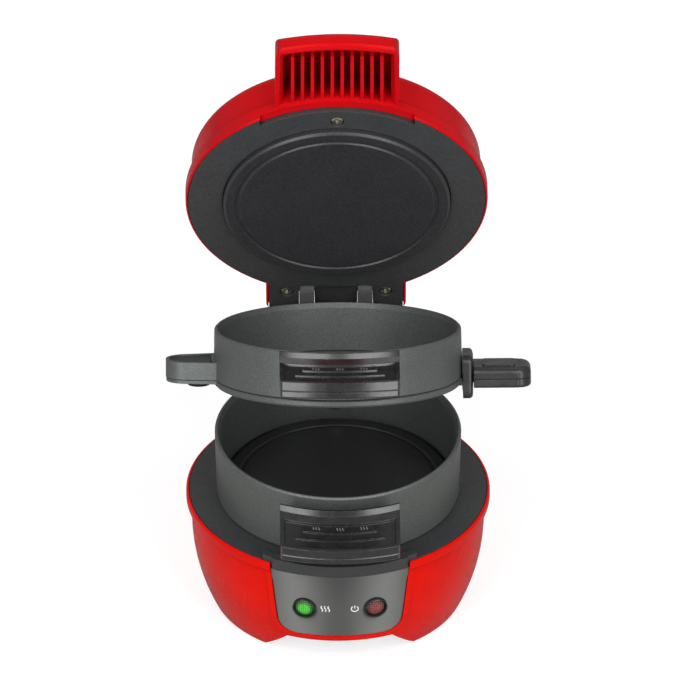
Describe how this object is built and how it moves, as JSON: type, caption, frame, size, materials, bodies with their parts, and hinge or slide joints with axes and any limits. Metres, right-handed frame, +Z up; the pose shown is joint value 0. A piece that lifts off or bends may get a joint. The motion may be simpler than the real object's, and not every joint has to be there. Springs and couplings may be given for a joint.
{
  "type": "breakfast sandwich maker",
  "caption": "Round sandwich maker: lamp-lit base, fixed lower ring, hinged upper ring with a swing-out cooking plate, and a hinged heated lid with a finned handle.",
  "frame": {"origin": "centre of the round base's footprint, on the surface it stands on", "axes": "+Z up; -Y is the front with the two lamps and the handles; +X is the user's right, where the cooking plate's grip is"},
  "size_m": [0.1685, 0.1732, 0.2915],
  "materials": {
    "red_gloss": "polished bright red",
    "charcoal": "fine matte charcoal",
    "panel_grey": "satin metallic grey",
    "lens_green": "clear green, faceted",
    "lens_red": "clear red, faceted",
    "lens_trim": "black ring",
    "lamp_glass": "clear",
    "ring_coating": "grey non-stick coating, fine texture",
    "heating_plate": "dark non-stick coating",
    "handle_black": "glossy black",
    "guard_black": "satin black",
    "rubber": "matt",
    "steel": "plain",
    "bright_screw": "bright heads",
    "sheet": "plain sheet",
    "bracket": "black coated steel",
    "terminal": "plain"
  },
  "bodies": {
    "base": {"base_housing": "red_gloss", "base_bezel": "charcoal", "control_panel": "panel_grey", "preheat_lens": "lens_green", "power_lens": "lens_red", "lens_rings": "lens_trim", "indicator_lamps": "lamp_glass", "lamp_holder": "guard_black", "bottom_cover": "guard_black", "rubber_feet": "rubber", "cover_screws": "steel", "cord_gland": "guard_black", "terminal_block": "terminal", "lower_heating_plate": "heating_plate", "lower_heating_element": "steel", "lower_reflector": "sheet", "lower_plate_screws": "steel", "lower_thermostat": "sheet", "lower_thermal_fuse": "steel", "hinge_tower": "charcoal", "tower_screws": "steel", "lid_hinge_pin": "steel", "ring_bracket": "bracket", "bracket_rivets": "steel", "ring_hinge_pin": "steel", "lower_ring": "ring_coating", "lower_ring_handle": "handle_black", "lower_handle_screws": "steel"},
    "lid": {"lid_housing": "red_gloss", "lid_bezel": "charcoal", "lid_screws": "bright_screw", "upper_heating_plate": "heating_plate", "upper_heating_element": "steel", "upper_reflector": "sheet", "upper_plate_screws": "steel", "upper_thermal_fuse": "steel"},
    "ring": {"upper_ring": "ring_coating", "upper_ring_handle": "handle_black", "upper_handle_screws": "steel", "pivot_cap": "ring_coating", "pivot_rivet": "steel"},
    "plate": {"cooking_plate": "ring_coating", "plate_guard": "guard_black", "grip_upper": "guard_black", "grip_lower": "guard_black", "grip_screw": "steel"}
  },
  "joints": [
    {"name": "lid_hinge", "type": "hinge", "parent": "base", "child": "lid", "pos_m": [0, 0.0707, 0.1201], "axis": [-1, 0, 0], "range_deg": [-72.5, 17.5]},
    {"name": "ring_hinge", "type": "hinge", "parent": "base", "child": "ring", "pos_m": [0, 0.0678, 0.1025], "axis": [-1, 0, 0], "range_deg": [-22.01, 5.5]},
    {"name": "plate_swing", "type": "hinge", "parent": "ring", "child": "plate", "pos_m": [-0.0643, -0.00053, 0.11436], "axis": [0, -0.3746, -0.9272], "range_deg": [0, 115]}
  ],
  "couplings": [
    {"joint": "ring_hinge", "follows": "lid_hinge", "ratio": 0.30345}
  ]
}
